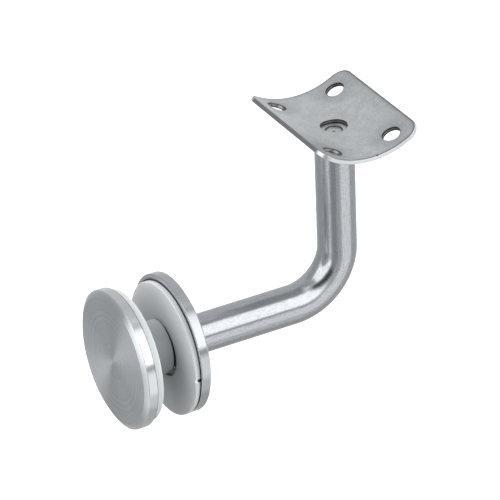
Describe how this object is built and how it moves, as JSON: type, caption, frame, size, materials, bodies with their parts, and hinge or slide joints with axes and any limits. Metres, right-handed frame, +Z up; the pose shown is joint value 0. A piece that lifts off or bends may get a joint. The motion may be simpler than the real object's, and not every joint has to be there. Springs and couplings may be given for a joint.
{
  "type": "handrail bracket",
  "caption": "Handrail bracket for a glass balustrade: a two-disc clamp for the pane, a bent round arm and a curved plate that the handrail tube is screwed to.",
  "frame": {"origin": "on the clamp axis, at the pane's face on the handrail's side", "axes": "+Z up, X along the handrail, +Y square to the pane and towards the handrail"},
  "size_m": [0.053, 0.109, 0.0973],
  "materials": {
    "turned_steel": "fine turning marks",
    "bar_steel": "satin, polished along the bar",
    "sheet_steel": "tumbled satin",
    "stud_steel": "rolled thread, bright",
    "white_plastic": "milky, slightly translucent"
  },
  "bodies": {
    "root": {"front_disc": "turned_steel", "rear_disc": "turned_steel", "glass_bush": "white_plastic", "rear_gasket": "white_plastic", "clamp_stud": "stud_steel", "arm": "bar_steel", "saddle_plate": "sheet_steel"}
  },
  "joints": []
}
